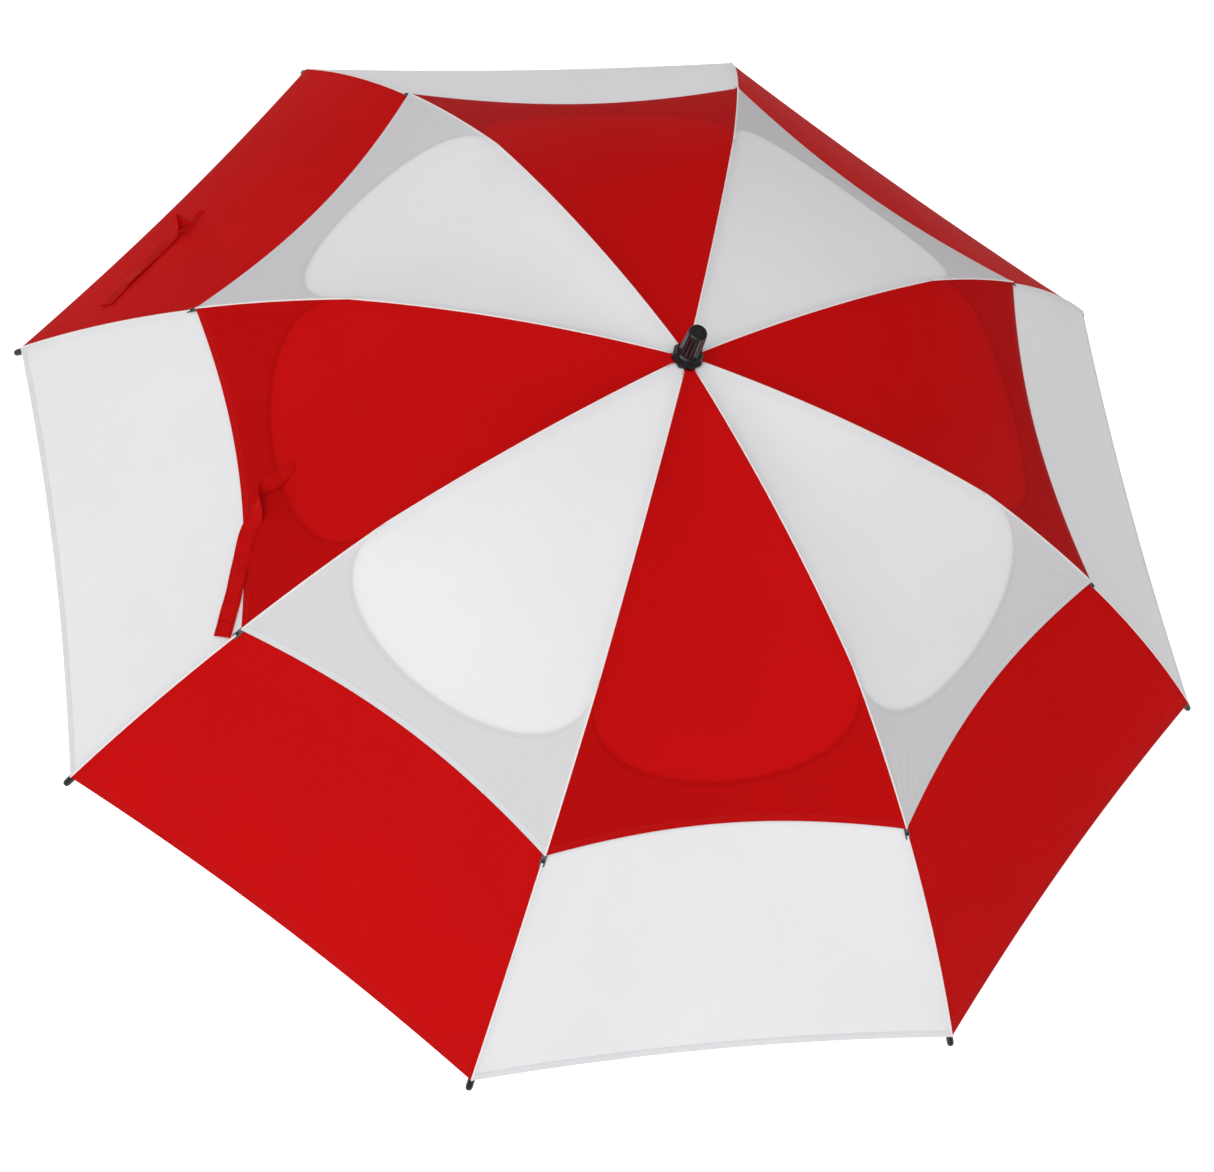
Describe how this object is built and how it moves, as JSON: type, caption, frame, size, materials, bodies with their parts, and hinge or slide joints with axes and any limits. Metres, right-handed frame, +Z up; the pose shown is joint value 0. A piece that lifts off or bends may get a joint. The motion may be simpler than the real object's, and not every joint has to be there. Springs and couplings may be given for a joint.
{
  "type": "golf umbrella",
  "caption": "Large open umbrella with a vented double canopy in alternating red and white panels, folding ribs and stretchers, a sliding runner, a straight handle and a black ferrule.",
  "frame": {"origin": "centre of the handle's flat end", "axes": "+Z up the shaft towards the ferrule, +X out along the first rib"},
  "size_m": [1.3696, 1.3696, 1.0078],
  "materials": {
    "red_fabric": "woven, slight sheen",
    "white_fabric": "woven, slight sheen",
    "strap": "woven tape",
    "black_plastic": "moulded, semi-gloss",
    "handle": "soft foam grip",
    "rib_steel": "black coated steel",
    "fibreglass": "pultruded rod",
    "shaft": "satin"
  },
  "bodies": {
    "root": {"shaft_tube": "shaft", "bottom_catch": "rib_steel", "top_notch": "black_plastic", "stop_collar": "rib_steel", "ferrule_collar": "black_plastic", "ferrule": "black_plastic", "handle_grip": "handle", "handle_end_cap": "black_plastic"},
    "rib_inner_1": {"rib_inner_1": "rib_steel", "upper_panel_1": "red_fabric"},
    "rib_outer_1": {"rib_outer_1": "fibreglass", "tip_cap_1": "black_plastic", "lower_panel_1": "white_fabric"},
    "stretcher_1": {"stretcher_1": "rib_steel"},
    "rib_inner_2": {"rib_inner_2": "rib_steel", "upper_panel_2": "white_fabric"},
    "rib_outer_2": {"rib_outer_2": "fibreglass", "tip_cap_2": "black_plastic", "lower_panel_2": "red_fabric"},
    "stretcher_2": {"stretcher_2": "rib_steel"},
    "rib_inner_3": {"rib_inner_3": "rib_steel", "upper_panel_3": "red_fabric"},
    "rib_outer_3": {"rib_outer_3": "fibreglass", "tip_cap_3": "black_plastic", "lower_panel_3": "white_fabric"},
    "stretcher_3": {"stretcher_3": "rib_steel"},
    "rib_inner_4": {"rib_inner_4": "rib_steel", "upper_panel_4": "white_fabric"},
    "rib_outer_4": {"rib_outer_4": "fibreglass", "tip_cap_4": "black_plastic", "lower_panel_4": "red_fabric"},
    "stretcher_4": {"stretcher_4": "rib_steel"},
    "rib_inner_5": {"rib_inner_5": "rib_steel", "upper_panel_5": "red_fabric"},
    "rib_outer_5": {"rib_outer_5": "fibreglass", "tip_cap_5": "black_plastic", "lower_panel_5": "white_fabric", "lower_strap": "strap"},
    "stretcher_5": {"stretcher_5": "rib_steel"},
    "rib_inner_6": {"rib_inner_6": "rib_steel", "upper_panel_6": "white_fabric"},
    "rib_outer_6": {"rib_outer_6": "fibreglass", "tip_cap_6": "black_plastic", "lower_panel_6": "red_fabric", "upper_strap": "strap"},
    "stretcher_6": {"stretcher_6": "rib_steel"},
    "rib_inner_7": {"rib_inner_7": "rib_steel", "upper_panel_7": "red_fabric"},
    "rib_outer_7": {"rib_outer_7": "fibreglass", "tip_cap_7": "black_plastic", "lower_panel_7": "white_fabric"},
    "stretcher_7": {"stretcher_7": "rib_steel"},
    "rib_inner_8": {"rib_inner_8": "rib_steel", "upper_panel_8": "white_fabric"},
    "rib_outer_8": {"rib_outer_8": "fibreglass", "tip_cap_8": "black_plastic", "lower_panel_8": "red_fabric"},
    "stretcher_8": {"stretcher_8": "rib_steel"},
    "runner": {"runner": "black_plastic"},
    "runner_button": {"runner_button": "black_plastic"}
  },
  "joints": [
    {"name": "canopy_fold", "type": "hinge", "parent": "root", "child": "rib_inner_1", "pos_m": [0.0125, 0, 0.95], "axis": [0, 1, 0], "range_deg": [0, 74], "deforming": ["upper_panel_1", "lower_panel_1", "upper_panel_2", "lower_panel_2", "upper_panel_3", "lower_panel_3", "upper_panel_4", "lower_panel_4", "upper_panel_5", "lower_panel_5", "upper_panel_6", "lower_panel_6", "upper_panel_7", "lower_panel_7", "upper_panel_8", "lower_panel_8", "upper_strap", "lower_strap"]},
    {"name": "rib_knee_1", "type": "hinge", "parent": "rib_inner_1", "child": "rib_outer_1", "pos_m": [0.34523, 0, 0.872], "axis": [0, 1, 0], "range_deg": [-25, 0], "deforming": ["upper_panel_1", "lower_panel_1", "upper_panel_2", "lower_panel_2", "upper_panel_3", "lower_panel_3", "upper_panel_4", "lower_panel_4", "upper_panel_5", "lower_panel_5", "upper_panel_6", "lower_panel_6", "upper_panel_7", "lower_panel_7", "upper_panel_8", "lower_panel_8", "upper_strap", "lower_strap"]},
    {"name": "stretcher_hinge_1", "type": "hinge", "parent": "rib_inner_1", "child": "stretcher_1", "pos_m": [0.33171, 0, 0.87031], "axis": [0, 1, 0], "range_deg": [-148, 0], "deforming": ["upper_panel_1", "lower_panel_1", "upper_panel_2", "lower_panel_2", "upper_panel_3", "lower_panel_3", "upper_panel_4", "lower_panel_4", "upper_panel_5", "lower_panel_5", "upper_panel_6", "lower_panel_6", "upper_panel_7", "lower_panel_7", "upper_panel_8", "lower_panel_8", "upper_strap", "lower_strap"]},
    {"name": "rib_hinge_2", "type": "hinge", "parent": "root", "child": "rib_inner_2", "pos_m": [0.00884, 0.00884, 0.95], "axis": [-0.7071, 0.7071, 0], "range_deg": [0, 74], "deforming": ["upper_panel_1", "lower_panel_1", "upper_panel_2", "lower_panel_2", "upper_panel_3", "lower_panel_3", "upper_panel_4", "lower_panel_4", "upper_panel_5", "lower_panel_5", "upper_panel_6", "lower_panel_6", "upper_panel_7", "lower_panel_7", "upper_panel_8", "lower_panel_8", "upper_strap", "lower_strap"]},
    {"name": "rib_knee_2", "type": "hinge", "parent": "rib_inner_2", "child": "rib_outer_2", "pos_m": [0.24411, 0.24411, 0.872], "axis": [-0.7071, 0.7071, 0], "range_deg": [-25, 0], "deforming": ["upper_panel_1", "lower_panel_1", "upper_panel_2", "lower_panel_2", "upper_panel_3", "lower_panel_3", "upper_panel_4", "lower_panel_4", "upper_panel_5", "lower_panel_5", "upper_panel_6", "lower_panel_6", "upper_panel_7", "lower_panel_7", "upper_panel_8", "lower_panel_8", "upper_strap", "lower_strap"]},
    {"name": "stretcher_hinge_2", "type": "hinge", "parent": "rib_inner_2", "child": "stretcher_2", "pos_m": [0.23456, 0.23456, 0.87031], "axis": [-0.7071, 0.7071, 0], "range_deg": [-148, 0], "deforming": ["upper_panel_1", "lower_panel_1", "upper_panel_2", "lower_panel_2", "upper_panel_3", "lower_panel_3", "upper_panel_4", "lower_panel_4", "upper_panel_5", "lower_panel_5", "upper_panel_6", "lower_panel_6", "upper_panel_7", "lower_panel_7", "upper_panel_8", "lower_panel_8", "upper_strap", "lower_strap"]},
    {"name": "rib_hinge_3", "type": "hinge", "parent": "root", "child": "rib_inner_3", "pos_m": [0, 0.0125, 0.95], "axis": [-1, 0, 0], "range_deg": [0, 74], "deforming": ["upper_panel_1", "lower_panel_1", "upper_panel_2", "lower_panel_2", "upper_panel_3", "lower_panel_3", "upper_panel_4", "lower_panel_4", "upper_panel_5", "lower_panel_5", "upper_panel_6", "lower_panel_6", "upper_panel_7", "lower_panel_7", "upper_panel_8", "lower_panel_8", "upper_strap", "lower_strap"]},
    {"name": "rib_knee_3", "type": "hinge", "parent": "rib_inner_3", "child": "rib_outer_3", "pos_m": [0, 0.34523, 0.872], "axis": [-1, 0, 0], "range_deg": [-25, 0], "deforming": ["upper_panel_1", "lower_panel_1", "upper_panel_2", "lower_panel_2", "upper_panel_3", "lower_panel_3", "upper_panel_4", "lower_panel_4", "upper_panel_5", "lower_panel_5", "upper_panel_6", "lower_panel_6", "upper_panel_7", "lower_panel_7", "upper_panel_8", "lower_panel_8", "upper_strap", "lower_strap"]},
    {"name": "stretcher_hinge_3", "type": "hinge", "parent": "rib_inner_3", "child": "stretcher_3", "pos_m": [0, 0.33171, 0.87031], "axis": [-1, 0, 0], "range_deg": [-148, 0], "deforming": ["upper_panel_1", "lower_panel_1", "upper_panel_2", "lower_panel_2", "upper_panel_3", "lower_panel_3", "upper_panel_4", "lower_panel_4", "upper_panel_5", "lower_panel_5", "upper_panel_6", "lower_panel_6", "upper_panel_7", "lower_panel_7", "upper_panel_8", "lower_panel_8", "upper_strap", "lower_strap"]},
    {"name": "rib_hinge_4", "type": "hinge", "parent": "root", "child": "rib_inner_4", "pos_m": [-0.00884, 0.00884, 0.95], "axis": [-0.7071, -0.7071, 0], "range_deg": [0, 74], "deforming": ["upper_panel_1", "lower_panel_1", "upper_panel_2", "lower_panel_2", "upper_panel_3", "lower_panel_3", "upper_panel_4", "lower_panel_4", "upper_panel_5", "lower_panel_5", "upper_panel_6", "lower_panel_6", "upper_panel_7", "lower_panel_7", "upper_panel_8", "lower_panel_8", "upper_strap", "lower_strap"]},
    {"name": "rib_knee_4", "type": "hinge", "parent": "rib_inner_4", "child": "rib_outer_4", "pos_m": [-0.24411, 0.24411, 0.872], "axis": [-0.7071, -0.7071, 0], "range_deg": [-25, 0], "deforming": ["upper_panel_1", "lower_panel_1", "upper_panel_2", "lower_panel_2", "upper_panel_3", "lower_panel_3", "upper_panel_4", "lower_panel_4", "upper_panel_5", "lower_panel_5", "upper_panel_6", "lower_panel_6", "upper_panel_7", "lower_panel_7", "upper_panel_8", "lower_panel_8", "upper_strap", "lower_strap"]},
    {"name": "stretcher_hinge_4", "type": "hinge", "parent": "rib_inner_4", "child": "stretcher_4", "pos_m": [-0.23456, 0.23456, 0.87031], "axis": [-0.7071, -0.7071, 0], "range_deg": [-148, 0], "deforming": ["upper_panel_1", "lower_panel_1", "upper_panel_2", "lower_panel_2", "upper_panel_3", "lower_panel_3", "upper_panel_4", "lower_panel_4", "upper_panel_5", "lower_panel_5", "upper_panel_6", "lower_panel_6", "upper_panel_7", "lower_panel_7", "upper_panel_8", "lower_panel_8", "upper_strap", "lower_strap"]},
    {"name": "rib_hinge_5", "type": "hinge", "parent": "root", "child": "rib_inner_5", "pos_m": [-0.0125, 0, 0.95], "axis": [0, -1, 0], "range_deg": [0, 74], "deforming": ["upper_panel_1", "lower_panel_1", "upper_panel_2", "lower_panel_2", "upper_panel_3", "lower_panel_3", "upper_panel_4", "lower_panel_4", "upper_panel_5", "lower_panel_5", "upper_panel_6", "lower_panel_6", "upper_panel_7", "lower_panel_7", "upper_panel_8", "lower_panel_8", "upper_strap", "lower_strap"]},
    {"name": "rib_knee_5", "type": "hinge", "parent": "rib_inner_5", "child": "rib_outer_5", "pos_m": [-0.34523, 0, 0.872], "axis": [0, -1, 0], "range_deg": [-25, 0], "deforming": ["upper_panel_1", "lower_panel_1", "upper_panel_2", "lower_panel_2", "upper_panel_3", "lower_panel_3", "upper_panel_4", "lower_panel_4", "upper_panel_5", "lower_panel_5", "upper_panel_6", "lower_panel_6", "upper_panel_7", "lower_panel_7", "upper_panel_8", "lower_panel_8", "upper_strap", "lower_strap"]},
    {"name": "stretcher_hinge_5", "type": "hinge", "parent": "rib_inner_5", "child": "stretcher_5", "pos_m": [-0.33171, 0, 0.87031], "axis": [0, -1, 0], "range_deg": [-148, 0], "deforming": ["upper_panel_1", "lower_panel_1", "upper_panel_2", "lower_panel_2", "upper_panel_3", "lower_panel_3", "upper_panel_4", "lower_panel_4", "upper_panel_5", "lower_panel_5", "upper_panel_6", "lower_panel_6", "upper_panel_7", "lower_panel_7", "upper_panel_8", "lower_panel_8", "upper_strap", "lower_strap"]},
    {"name": "rib_hinge_6", "type": "hinge", "parent": "root", "child": "rib_inner_6", "pos_m": [-0.00884, -0.00884, 0.95], "axis": [0.7071, -0.7071, 0], "range_deg": [0, 74], "deforming": ["upper_panel_1", "lower_panel_1", "upper_panel_2", "lower_panel_2", "upper_panel_3", "lower_panel_3", "upper_panel_4", "lower_panel_4", "upper_panel_5", "lower_panel_5", "upper_panel_6", "lower_panel_6", "upper_panel_7", "lower_panel_7", "upper_panel_8", "lower_panel_8", "upper_strap", "lower_strap"]},
    {"name": "rib_knee_6", "type": "hinge", "parent": "rib_inner_6", "child": "rib_outer_6", "pos_m": [-0.24411, -0.24411, 0.872], "axis": [0.7071, -0.7071, 0], "range_deg": [-25, 0], "deforming": ["upper_panel_1", "lower_panel_1", "upper_panel_2", "lower_panel_2", "upper_panel_3", "lower_panel_3", "upper_panel_4", "lower_panel_4", "upper_panel_5", "lower_panel_5", "upper_panel_6", "lower_panel_6", "upper_panel_7", "lower_panel_7", "upper_panel_8", "lower_panel_8", "upper_strap", "lower_strap"]},
    {"name": "stretcher_hinge_6", "type": "hinge", "parent": "rib_inner_6", "child": "stretcher_6", "pos_m": [-0.23456, -0.23456, 0.87031], "axis": [0.7071, -0.7071, 0], "range_deg": [-148, 0], "deforming": ["upper_panel_1", "lower_panel_1", "upper_panel_2", "lower_panel_2", "upper_panel_3", "lower_panel_3", "upper_panel_4", "lower_panel_4", "upper_panel_5", "lower_panel_5", "upper_panel_6", "lower_panel_6", "upper_panel_7", "lower_panel_7", "upper_panel_8", "lower_panel_8", "upper_strap", "lower_strap"]},
    {"name": "rib_hinge_7", "type": "hinge", "parent": "root", "child": "rib_inner_7", "pos_m": [0, -0.0125, 0.95], "axis": [1, 0, 0], "range_deg": [0, 74], "deforming": ["upper_panel_1", "lower_panel_1", "upper_panel_2", "lower_panel_2", "upper_panel_3", "lower_panel_3", "upper_panel_4", "lower_panel_4", "upper_panel_5", "lower_panel_5", "upper_panel_6", "lower_panel_6", "upper_panel_7", "lower_panel_7", "upper_panel_8", "lower_panel_8", "upper_strap", "lower_strap"]},
    {"name": "rib_knee_7", "type": "hinge", "parent": "rib_inner_7", "child": "rib_outer_7", "pos_m": [0, -0.34523, 0.872], "axis": [1, 0, 0], "range_deg": [-25, 0], "deforming": ["upper_panel_1", "lower_panel_1", "upper_panel_2", "lower_panel_2", "upper_panel_3", "lower_panel_3", "upper_panel_4", "lower_panel_4", "upper_panel_5", "lower_panel_5", "upper_panel_6", "lower_panel_6", "upper_panel_7", "lower_panel_7", "upper_panel_8", "lower_panel_8", "upper_strap", "lower_strap"]},
    {"name": "stretcher_hinge_7", "type": "hinge", "parent": "rib_inner_7", "child": "stretcher_7", "pos_m": [0, -0.33171, 0.87031], "axis": [1, 0, 0], "range_deg": [-148, 0], "deforming": ["upper_panel_1", "lower_panel_1", "upper_panel_2", "lower_panel_2", "upper_panel_3", "lower_panel_3", "upper_panel_4", "lower_panel_4", "upper_panel_5", "lower_panel_5", "upper_panel_6", "lower_panel_6", "upper_panel_7", "lower_panel_7", "upper_panel_8", "lower_panel_8", "upper_strap", "lower_strap"]},
    {"name": "rib_hinge_8", "type": "hinge", "parent": "root", "child": "rib_inner_8", "pos_m": [0.00884, -0.00884, 0.95], "axis": [0.7071, 0.7071, 0], "range_deg": [0, 74], "deforming": ["upper_panel_1", "lower_panel_1", "upper_panel_2", "lower_panel_2", "upper_panel_3", "lower_panel_3", "upper_panel_4", "lower_panel_4", "upper_panel_5", "lower_panel_5", "upper_panel_6", "lower_panel_6", "upper_panel_7", "lower_panel_7", "upper_panel_8", "lower_panel_8", "upper_strap", "lower_strap"]},
    {"name": "rib_knee_8", "type": "hinge", "parent": "rib_inner_8", "child": "rib_outer_8", "pos_m": [0.24411, -0.24411, 0.872], "axis": [0.7071, 0.7071, 0], "range_deg": [-25, 0], "deforming": ["upper_panel_1", "lower_panel_1", "upper_panel_2", "lower_panel_2", "upper_panel_3", "lower_panel_3", "upper_panel_4", "lower_panel_4", "upper_panel_5", "lower_panel_5", "upper_panel_6", "lower_panel_6", "upper_panel_7", "lower_panel_7", "upper_panel_8", "lower_panel_8", "upper_strap", "lower_strap"]},
    {"name": "stretcher_hinge_8", "type": "hinge", "parent": "rib_inner_8", "child": "stretcher_8", "pos_m": [0.23456, -0.23456, 0.87031], "axis": [0.7071, 0.7071, 0], "range_deg": [-148, 0], "deforming": ["upper_panel_1", "lower_panel_1", "upper_panel_2", "lower_panel_2", "upper_panel_3", "lower_panel_3", "upper_panel_4", "lower_panel_4", "upper_panel_5", "lower_panel_5", "upper_panel_6", "lower_panel_6", "upper_panel_7", "lower_panel_7", "upper_panel_8", "lower_panel_8", "upper_strap", "lower_strap"]},
    {"name": "runner_slide", "type": "slide", "parent": "root", "child": "runner", "axis": [0, 0, -1], "range_m": [0, 0.49826], "deforming": ["upper_panel_1", "lower_panel_1", "upper_panel_2", "lower_panel_2", "upper_panel_3", "lower_panel_3", "upper_panel_4", "lower_panel_4", "upper_panel_5", "lower_panel_5", "upper_panel_6", "lower_panel_6", "upper_panel_7", "lower_panel_7", "upper_panel_8", "lower_panel_8", "upper_strap", "lower_strap"]},
    {"name": "button_press", "type": "hinge", "parent": "runner", "child": "runner_button", "pos_m": [0.0085, 0.00352, 0.75263], "axis": [-0.3827, 0.9239, 0], "range_deg": [0, 7], "stiffness_Nm_per_rad": 0.05}
  ],
  "couplings": [
    {"joint": "rib_knee_1", "follows": "canopy_fold", "ratio": -0.33784},
    {"joint": "stretcher_hinge_1", "follows": "canopy_fold", "ratio": -2},
    {"joint": "rib_hinge_2", "follows": "canopy_fold", "ratio": 1},
    {"joint": "rib_knee_2", "follows": "canopy_fold", "ratio": -0.33784},
    {"joint": "stretcher_hinge_2", "follows": "canopy_fold", "ratio": -2},
    {"joint": "rib_hinge_3", "follows": "canopy_fold", "ratio": 1},
    {"joint": "rib_knee_3", "follows": "canopy_fold", "ratio": -0.33784},
    {"joint": "stretcher_hinge_3", "follows": "canopy_fold", "ratio": -2},
    {"joint": "rib_hinge_4", "follows": "canopy_fold", "ratio": 1},
    {"joint": "rib_knee_4", "follows": "canopy_fold", "ratio": -0.33784},
    {"joint": "stretcher_hinge_4", "follows": "canopy_fold", "ratio": -2},
    {"joint": "rib_hinge_5", "follows": "canopy_fold", "ratio": 1},
    {"joint": "rib_knee_5", "follows": "canopy_fold", "ratio": -0.33784},
    {"joint": "stretcher_hinge_5", "follows": "canopy_fold", "ratio": -2},
    {"joint": "rib_hinge_6", "follows": "canopy_fold", "ratio": 1},
    {"joint": "rib_knee_6", "follows": "canopy_fold", "ratio": -0.33784},
    {"joint": "stretcher_hinge_6", "follows": "canopy_fold", "ratio": -2},
    {"joint": "rib_hinge_7", "follows": "canopy_fold", "ratio": 1},
    {"joint": "rib_knee_7", "follows": "canopy_fold", "ratio": -0.33784},
    {"joint": "stretcher_hinge_7", "follows": "canopy_fold", "ratio": -2},
    {"joint": "rib_hinge_8", "follows": "canopy_fold", "ratio": 1},
    {"joint": "rib_knee_8", "follows": "canopy_fold", "ratio": -0.33784},
    {"joint": "stretcher_hinge_8", "follows": "canopy_fold", "ratio": -2},
    {"joint": "runner_slide", "follows": "canopy_fold", "m_per_rad": 0.38578}
  ]
}
